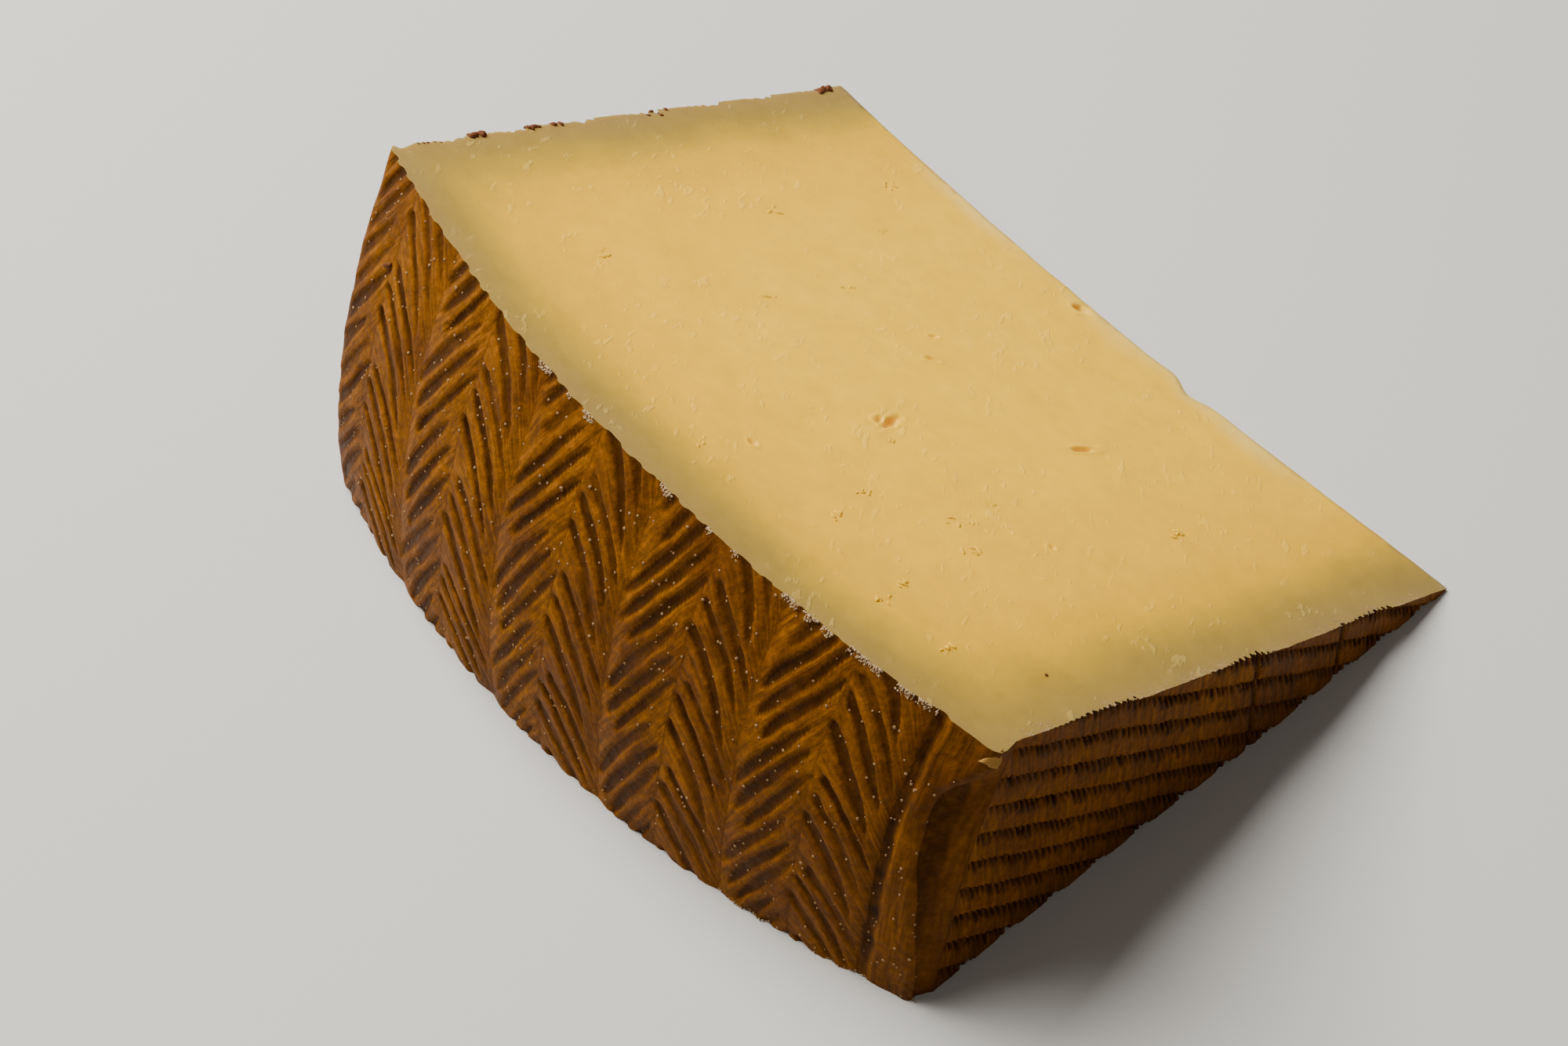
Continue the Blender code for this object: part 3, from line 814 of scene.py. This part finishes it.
# Cured sheep's-milk paste: dense, nearly matt and slightly translucent, straw-coloured in the
# middle, yellower towards the rind with a thin greyish dried band right beside it, and painted
# darker towards the rind and most in the corners as painted shade.
pasteLook = {
    # the zones are partly the paste's own colour, partly painted shade that darkens towards the rind
    "zones": (              # mm from the rind and the colour there
        (0.0, "93773C"),
        (3.6, "9E7F31"),
        (6.5, "BA9325"),
        (9.5, "DCA717"),
        (15.0, "EEB313"),
        (27.0, "F8BD14"),
    ),
    "reach": 30.0,
    "dried": "F0CC70",
    "fleck": "FFD970",
    # the painted shade inside the eyes
    "eyeShade": "D9A437",
    "roughness": 0.5,
    # scale per metre and detail: broad shifts 18 mm wide, clouds 6 mm, fine crumb 2.4 mm, and
    # where flecks are, 10 mm
    "noises": {
        "broad": (55.0, 3.0),
        "cloud": (160.0, 2.0),
        "fine": (420.0, 5.0),
        "fleckPlaces": (95.0, 2.0),
    },
    "tornSize": (0.0011, 0.0035, 0.0011),   # metres, a fleck's width, length and width
    "tornTurn": 0.5,
}


def pasteMaterial():
    material, tree = newMaterial("cured sheep's-milk paste")
    place = addNode(tree, "TexCoord").outputs["Object"]
    found = {}
    for name, (scale, detail) in pasteLook["noises"].items():
        inputs = {"Vector": place, "Scale": scale, "Detail": detail}
        found[name] = addNode(tree, "TexNoise", inputs).outputs["Fac"]
    for name in ("fromRind", "dried", "eyeShade"):
        found[name] = addNode(tree, "Attribute", attribute_name=name).outputs["Fac"]
    # the colour runs inwards from the rind, a millimetre sooner or later from place to place, darkest by
    # the rind and in the corners, partly painted shade
    inputs = {0: found["broad"], 1: 0.3, 2: 0.7, 3: -1.2, 4: 1.2}
    shift = addNode(tree, "MapRange", inputs).outputs[0]
    inward = addNode(tree, "Math", {0: found["fromRind"], 1: shift}).outputs[0]
    share = addNode(tree, "MapRange", {0: inward, 2: pasteLook["reach"]}).outputs[0]
    zones = addNode(tree, "ValToRGB", {"Fac": share})
    ramp = zones.color_ramp.elements
    ramp[1].position = pasteLook["zones"][-1][0] / pasteLook["reach"]
    for distance, _ in pasteLook["zones"][1:-1]:
        ramp.new(distance / pasteLook["reach"])
    for stop, (_, code) in zip(ramp, pasteLook["zones"]):
        stop.color = linear(code)
    colour = zones.outputs[0]
    for value, dark, light in ((found["cloud"], 0.955, 1.03), (found["fine"], 0.95, 1.04)):
        inputs = {0: value, 1: 0.3, 2: 0.7, 3: dark, 4: light}
        tone = addNode(tree, "MapRange", inputs).outputs[0]
        inputs = {0: 1.0, 6: colour, 7: tone}
        colour = addNode(tree, "Mix", inputs, data_type="RGBA", blend_type="MULTIPLY").outputs[2]
    # small pale flecks where the knife tore the paste instead of cutting it
    inputs = {"Vector": place, "Rotation": (0, 0, pasteLook["tornTurn"]), "Scale": pasteLook["tornSize"]}
    torn = addNode(tree, "Mapping", inputs, vector_type="TEXTURE").outputs[0]
    inputs = {"Vector": torn, "Scale": 1.0, "Detail": 3.0}
    torn = addNode(tree, "TexNoise", inputs).outputs["Fac"]
    torn = addNode(tree, "MapRange", {0: torn, 1: 0.60, 2: 0.68}).outputs[0]
    inputs = {0: found["fleckPlaces"], 1: 0.44, 2: 0.58}
    places = addNode(tree, "MapRange", inputs).outputs[0]
    found["fleck"] = addNode(tree, "Math", {0: torn, 1: places}, operation="MULTIPLY").outputs[0]
    # the flecks and the dried band are the paste's own colour; the eyes get painted shade
    for name, most in (("fleck", 0.15), ("dried", 0.6), ("eyeShade", 0.5)):
        share = addNode(tree, "Math", {0: found[name], 1: most}, operation="MULTIPLY").outputs[0]
        inputs = {0: share, 6: colour, 7: linear(pasteLook[name])}
        colour = addNode(tree, "Mix", inputs, data_type="RGBA").outputs[2]
    inputs = {0: found["fleck"], 1: 0.7, 2: found["fine"]}
    height = addNode(tree, "Math", inputs, operation="MULTIPLY_ADD").outputs[0]
    inputs = {"Height": height, "Strength": 0.35, "Distance": 0.0004}
    bump = addNode(tree, "Bump", inputs).outputs[0]
    shader = addNode(tree, "BsdfPrincipled", {
        "Base Color": colour,
        "Normal": bump,
        "Roughness": pasteLook["roughness"],
        "Specular IOR Level": 0.2,
        "Subsurface Weight": 0.2,
        "Subsurface Radius": (0.0045, 0.0026, 0.0012),
        "Subsurface Scale": 1.0,
    })
    addNode(tree, "OutputMaterial", {"Surface": shader.outputs[0]})
    return material


rind = buildRind()
wedge = bpy.data.objects.new("manchegoWedge", rind)
bpy.context.scene.collection.objects.link(wedge)
closeCuts(wedge, cutWedge(wedge))
borders = shapeCuts(wedge)
wedge.data.materials.append(rindMaterial())
wedge.data.materials.append(pasteMaterial())
for polygon in wedge.data.polygons:
    polygon.use_smooth = True
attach(wedge, "root")
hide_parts("cheese_wedge")
print("manchego wedge made")


def grainPiece(name, places, normals, sizes, levels, lumpy, seed, material):
    # one mesh of many small closed grains, each with its own size along, across and outwards
    bpy.ops.object.select_all(action="DESELECT")
    bpy.ops.mesh.primitive_ico_sphere_add(subdivisions=levels, radius=1.0)
    ball = bpy.context.object
    unit = np.array([vertex.co[:] for vertex in ball.data.vertices])
    triangles = np.array([polygon.vertices[:] for polygon in ball.data.polygons])
    bpy.data.meshes.remove(ball.data)
    number = np.arange(len(places))[:, None]
    shape = unit[None] * (1 + lumpy * draw(number, np.arange(len(unit))[None], seed))[..., None]
    turn = math.pi * draw(number, 0, seed + 1)
    guide = np.where(np.abs(normals[:, 2:]) > 0.7, [[1.0, 0.0, 0.0]], [[0.0, 0.0, 1.0]])
    first = np.cross(guide, normals)
    first = first / np.linalg.norm(first, axis=1, keepdims=True)
    second = np.cross(normals, first)
    along = first * np.cos(turn) + second * np.sin(turn)
    aside = second * np.cos(turn) - first * np.sin(turn)
    axes = np.stack([along, aside, normals], axis=1) * sizes[..., None]
    verts = toFrame(*places.T)[:, None] + np.einsum("kvi,kij->kvj", shape, axes) * mm
    faces = (triangles[None] + number[..., None] * len(unit)).reshape(-1, 3)
    mesh = bpy.data.meshes.new(name)
    mesh.from_pydata(verts.reshape(-1, 3).tolist(), [], faces.tolist())
    mesh.materials.append(material)
    for polygon in mesh.polygons:
        polygon.use_smooth = True
    piece = bpy.data.objects.new(name, mesh)
    bpy.context.scene.collection.objects.link(piece)
    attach(piece, "root")
    print(name, "made:", len(faces), "triangles")
    return piece


def grainMaterial(name, look):
    # plain dry grains, their colour uneven over about a millimetre
    material, tree = newMaterial(name)
    place = addNode(tree, "TexCoord").outputs["Object"]
    inputs = {"Vector": place, "Scale": 900.0, "Detail": 3.0}
    uneven = addNode(tree, "TexNoise", inputs).outputs["Fac"]
    inputs = {0: uneven, 1: 0.3, 2: 0.7, 3: 0.75, 4: 1.1}
    tone = addNode(tree, "MapRange", inputs).outputs[0]
    inputs = {0: 1.0, 6: linear(look["colour"]), 7: tone}
    colour = addNode(tree, "Mix", inputs, data_type="RGBA", blend_type="MULTIPLY").outputs[2]
    shader = addNode(tree, "BsdfPrincipled", {
        "Base Color": colour,
        "Roughness": look["roughness"],
        "Specular IOR Level": 0.2,
    })
    addNode(tree, "OutputMaterial", {"Surface": shader.outputs[0]})
    return material


# The small pale pimples of dried mould that sit in the pressed grooves and on the smooth rim.
pimpleLook = {
    "chance": 0.007,
    "grooveChance": 0.026,
    "radius": 0.15,
    "spread": 0.055,
    "depths": (0.8, 104.0),
    "fromCuts": 0.4,
    "colour": "94714A",
    "roughness": 0.75,
}


def addPimples():
    depth, across, up = borders["places"].T
    radius = np.hypot(across, up)
    room = np.minimum(cutHeight(depth, across) - up, up)
    first, last = pimpleLook["depths"]
    good = borders["onRind"] & (radius > barrel(depth) - 1.6) & (room > pimpleLook["fromCuts"])
    good &= (depth > first) & (depth < last)
    chance = pimpleLook["chance"] + pimpleLook["grooveChance"] * borders["recess"]
    number = np.arange(len(depth))
    chosen = np.where(good & (draw(number, 0, 90) > 1 - 2 * chance))[0]
    size = pimpleLook["radius"] + pimpleLook["spread"] * draw(chosen, 0, 91)
    sizes = np.stack([size, size * (1 + 0.2 * draw(chosen, 0, 92)), size * 0.8], axis=-1)
    material = grainMaterial("dried mould pimples", pimpleLook)
    places, normals = borders["places"][chosen], borders["normals"][chosen]
    grainPiece("rindPimples", places, normals, sizes, 2, 0.08, 93, material)


# Crumbs of whitish mould where the knife left the rind: clumps of small grains on the strands
# along the upper edge, dust along the near face's edge, and some at the foot near the rim.
crumbLook = {
    "radius": 0.095,
    "spread": 0.05,
    "common": {0: 0.2, 3: 0.6, 20: 0.7, 30: 0.2, 62: 0.0, 75: -0.5, 105: -0.8},   # by depth
    "colour": "B59770",
    "roughness": 0.9,
}


def addCrumbs():
    found = []
    edges = (
        # which edge, grains for each place, how far down the rind, size, seed
        ("cutEdge", "side", 12, 0.8, 1.0, 100),
        ("cutEdge", "near", 5, 1.3, 0.45, 110),
        ("footEdge", "side", 4, 0.5, 0.9, 120),
    )
    for border, part, grains, reach, scale, seed in edges:
        index = np.where(borders[border])[0]
        depth, across, up = borders["places"][index].T
        radius = np.hypot(across, up)
        onSide = (radius > barrel(depth) - 1.5) & (depth > 0.3)
        cluster = bumps(depth / 1.3, across / 1.3, seed)
        if part == "near":
            keep = (depth < 3) & (radius < 84) & (cluster > -0.1)
        elif border == "footEdge":
            keep = onSide & (depth < 26) & (cluster > 0.1)
        else:
            stops, amounts = zip(*crumbLook["common"].items())
            common = np.interp(depth, stops, amounts)
            keep = onSide & (cluster + common > 0.35) & (borders["recess"][index] < 0.3)
        index = index[keep]
        for k in range(grains):
            down = reach * (0.5 + 0.5 * draw(index, k, seed + 1)) ** 2
            aside = 0.45 * draw(index, k, seed + 2)
            place = borders["places"][index].copy()
            angle = np.arctan2(place[:, 2], -place[:, 1])
            place[:, 0] += aside if part == "side" else down * 0.9
            if part == "side":
                down = -down if border == "footEdge" else down
                place[:, 1] -= down * np.sin(angle)
                place[:, 2] -= down * np.cos(angle)
            else:
                place[:, 1] += 0.4 * draw(index, k, seed + 3)
                place[:, 2] = cutHeight(place[:, 0], place[:, 1])
            size = scale * (crumbLook["radius"] + crumbLook["spread"] * draw(index, k, seed + 4))
            place[:, 2] = np.maximum(place[:, 2], 1.5 * size)
            found.append((place, borders["normals"][index], size))
    places, normals, size = [np.concatenate(parts) for parts in zip(*found)]
    sizes = np.stack([size * 1.15, size, size * 0.8], axis=-1)
    material = grainMaterial("dry mould crumbs", crumbLook)
    grainPiece("mouldCrumbs", places, normals, sizes, 1, 0.25, 130, material)


# Thin flakes of paste that the knife lifted and left on the cut, and the torn skin of paste
# that hangs over the rim at the near corner.
flakeLook = {
    # depth and across of the first clusters, and the middle and half width that the others fill
    "places": (
        (24.7, -58.8),
        (13.3, -73.9),
        (23.4, -71.1),
        (43.3, -53.1),
        (37.0, -64.0),
        (30.0, -50.0),
    ),
    "middle": (50.0, -46.0),
    "halfWidth": (43.0, 32.0),
    "clusters": 24,
    "each": 5,
    "size": 0.26,
    "spread": 0.16,
    "thick": 0.07,
    # depth, arc and radius of the torn skin's corners
    "tornCorners": ((-0.5, 45.2, 88.9), (0.7, 42.9, 90.5), (-0.9, 42.5, 88.7)),
    "tornThick": 0.4,
    "colour": "A0732E",
    "roughness": 0.7,
}


def addFlakes():
    number = np.arange(flakeLook["clusters"])
    depth = flakeLook["middle"][0] + flakeLook["halfWidth"][0] * draw(number, 1, 140)
    across = flakeLook["middle"][1] + flakeLook["halfWidth"][1] * draw(number, 2, 140)
    given = np.array(flakeLook["places"])
    depth[:len(given)], across[:len(given)] = given.T
    number = np.arange(flakeLook["clusters"] * flakeLook["each"])
    depth = np.repeat(depth, flakeLook["each"]) + 0.7 * draw(number, 3, 140)
    across = np.repeat(across, flakeLook["each"]) + 1.1 * draw(number, 4, 140)
    places = np.stack([depth, across, cutHeight(depth, across)], axis=-1)
    slopes = (wheel["farRise"] / wheel["height"], math.tan(math.radians(wheel["slope"])), 1)
    normals = np.tile(Vector(slopes).normalized(), (len(depth), 1))
    size = flakeLook["size"] + flakeLook["spread"] * draw(number, 5, 140)
    sizes = np.stack([size * 1.5, size * 0.7, np.full_like(size, flakeLook["thick"])], axis=-1)
    piece = grainPiece("pasteFlakes", places, normals, sizes, 2, 0.3, 141, wedge.data.materials[1])
    # the paste's colour is the one deep inside, past its last zone
    attribute = piece.data.attributes.new("fromRind", "FLOAT", "POINT")
    attribute.data.foreach_set("value", np.full(len(piece.data.vertices), pasteLook["reach"]))


def addTornPaste():
    # a lumpy skin stretched between three corners that lie round the rim
    corners = []
    for depth, arc, radius in flakeLook["tornCorners"]:
        angle = arc / wheel["belly"]
        corners.append(np.array([depth, -radius * math.cos(angle), radius * math.sin(angle)]))
    corners = toFrame(*np.array(corners).T)
    middle = corners.mean(axis=0)
    normal = np.cross(corners[1] - corners[0], corners[2] - corners[0])
    normal = normal / np.linalg.norm(normal)
    bpy.ops.object.select_all(action="DESELECT")
    bpy.ops.mesh.primitive_ico_sphere_add(subdivisions=5, radius=1.0)
    piece = bpy.context.object
    piece.name = "tornPaste"
    piece.data.name = "tornPaste"
    unit = np.array([vertex.co[:] for vertex in piece.data.vertices])
    angle = np.arctan2(unit[:, 1], unit[:, 0])
    reach = np.hypot(unit[:, 0], unit[:, 1])
    # the ball's outline is drawn out to the three corners
    weights = [np.maximum(np.cos(angle - k * 2 * math.pi / 3), 0) ** 0.8 for k in range(3)]
    outline = sum(w[:, None] * (corner - middle) for w, corner in zip(weights, corners))
    outline = outline * (reach * (1 + 0.12 * bumps(angle * 4, reach * 3, 150)))[:, None]
    lift = 0.12 * bumps(outline[:, 0] / mm, outline[:, 2] / mm, 151)
    lift = unit[:, 2] * flakeLook["tornThick"] + lift
    places = middle + outline + normal * (lift * mm)[:, None]
    piece.data.vertices.foreach_set("co", places.reshape(-1))
    piece.data.materials.append(grainMaterial("dried torn paste", flakeLook))
    for polygon in piece.data.polygons:
        polygon.use_smooth = True
    bpy.ops.object.mode_set(mode="EDIT")
    bpy.ops.mesh.select_all(action="SELECT")
    bpy.ops.mesh.normals_make_consistent(inside=False)
    bpy.ops.object.mode_set(mode="OBJECT")
    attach(piece, "root")
    print("tornPaste made:", len(piece.data.polygons), "triangles")


# Dark specks: two on the cut and a larger one on the side near the far rim. Brown bits of the
# far rim stand along the far edge of the cut.
speckLook = {
    "colour": "623411",
    "roughness": 0.7,
    "cutSpecks": ((6.4, -65.9), (4.5, -47.7)),      # depth, across
    "sideSpeck": (97.0, 43.0),                      # depth, arc
    # across, half the length of a run of bits, their size
    "farBits": (
        (-71.0, 1.6, 0.22),
        (-63.6, 1.6, 0.5),
        (-53.8, 2.6, 0.42),
        (-36.0, 2.6, 0.32),
        (-6.9, 1.2, 0.6),
    ),
    "inEachRun": 6,
}


def addSpecks():
    places, sizes, normals = [], [], []
    for depth, across in speckLook["cutSpecks"]:
        places.append((depth, across, cutHeight(depth, across)))
        sizes.append((0.24, 0.2, 0.08))
        normals.append((0.09, 0.44, 0.89))
    depth, arc = speckLook["sideSpeck"]
    angle = arc / wheel["belly"]
    radius = barrel(depth) + 0.1
    places.append((depth, -radius * math.cos(angle), radius * math.sin(angle)))
    sizes.append((0.35, 0.8, 0.2))
    normals.append((0.0, -math.cos(angle), math.sin(angle)))
    edge = borders["places"][borders["cutEdge"]]
    edge = edge[edge[:, 0] > wheel["height"] - 4]
    for number, (middle, run, size) in enumerate(speckLook["farBits"]):
        for k in range(speckLook["inEachRun"]):
            across = middle + run * float(draw(number, k, 161))
            place = edge[np.argmin(np.abs(edge[:, 1] - across))]
            places.append((place[0] - 0.1, place[1], place[2] - 0.1))
            tall = size * (0.8 + 0.3 * float(draw(number, k, 163)))
            sizes.append((size * 1.3, size * 0.8, tall))
            normals.append((-0.2, 0.3, 0.93))
    normals = np.array(normals)
    normals = normals / np.linalg.norm(normals, axis=1, keepdims=True)
    material = grainMaterial("dried brown specks", speckLook)
    grainPiece("darkSpecks", np.array(places), normals, np.array(sizes), 2, 0.2, 160, material)


addPimples()
addCrumbs()
addFlakes()
addTornPaste()
addSpecks()

# a plain pale floor, plain soft lights and the camera
bpy.ops.mesh.primitive_plane_add(size=6.0, location=(0, 0, 0))
floor = bpy.context.object
floor.name = "floor"
floorMaterial, floorTree = newMaterial("pale matt floor")
floorLook = {"Base Color": linear("C6C2BA"), "Roughness": 0.8}
floorShader = addNode(floorTree, "BsdfPrincipled", floorLook)
addNode(floorTree, "OutputMaterial", {"Surface": floorShader.outputs[0]})
floor.data.materials.append(floorMaterial)

studio = {
    "key": {"place": (-0.44, -0.09, 0.69), "size": 0.60, "power": 18.0},
    "fill": {"place": (0.70, -0.60, 0.80), "size": 1.2, "power": 1.0},
    "sky": 0.13,
    "skyColour": (1.0, 0.97, 0.92, 1.0),
    "aim": (0, 0, 0.02),
}


def softLight(name, settings):
    # a square soft light that looks at the wedge
    bpy.ops.object.light_add(type="AREA", location=settings["place"])
    lamp = bpy.context.object
    lamp.name = name
    lamp.data.size = settings["size"]
    lamp.data.energy = settings["power"]
    aim = Vector(studio["aim"]) - Vector(settings["place"])
    lamp.rotation_euler = aim.to_track_quat("-Z", "Y").to_euler()


softLight("softKey", studio["key"])
softLight("softFill", studio["fill"])
world = bpy.data.worlds.new("studio")
bpy.context.scene.world = world
world.use_nodes = True
background = world.node_tree.nodes["Background"]
background.inputs[0].default_value = studio["skyColour"]
background.inputs[1].default_value = studio["sky"]

# where the photograph was taken from
view = {"place": (0.17736, -0.17274, 0.29938), "tilt": 40.0, "turn": 47.815, "lens": 72.0}
turned = (math.radians(view["tilt"]), 0, math.radians(view["turn"]))
bpy.ops.object.camera_add(location=view["place"], rotation=turned)
camera = bpy.context.object
camera.data.lens = view["lens"]
camera.data.sensor_width = 36.0
bpy.context.scene.camera = camera
print("stage, lights and camera placed")
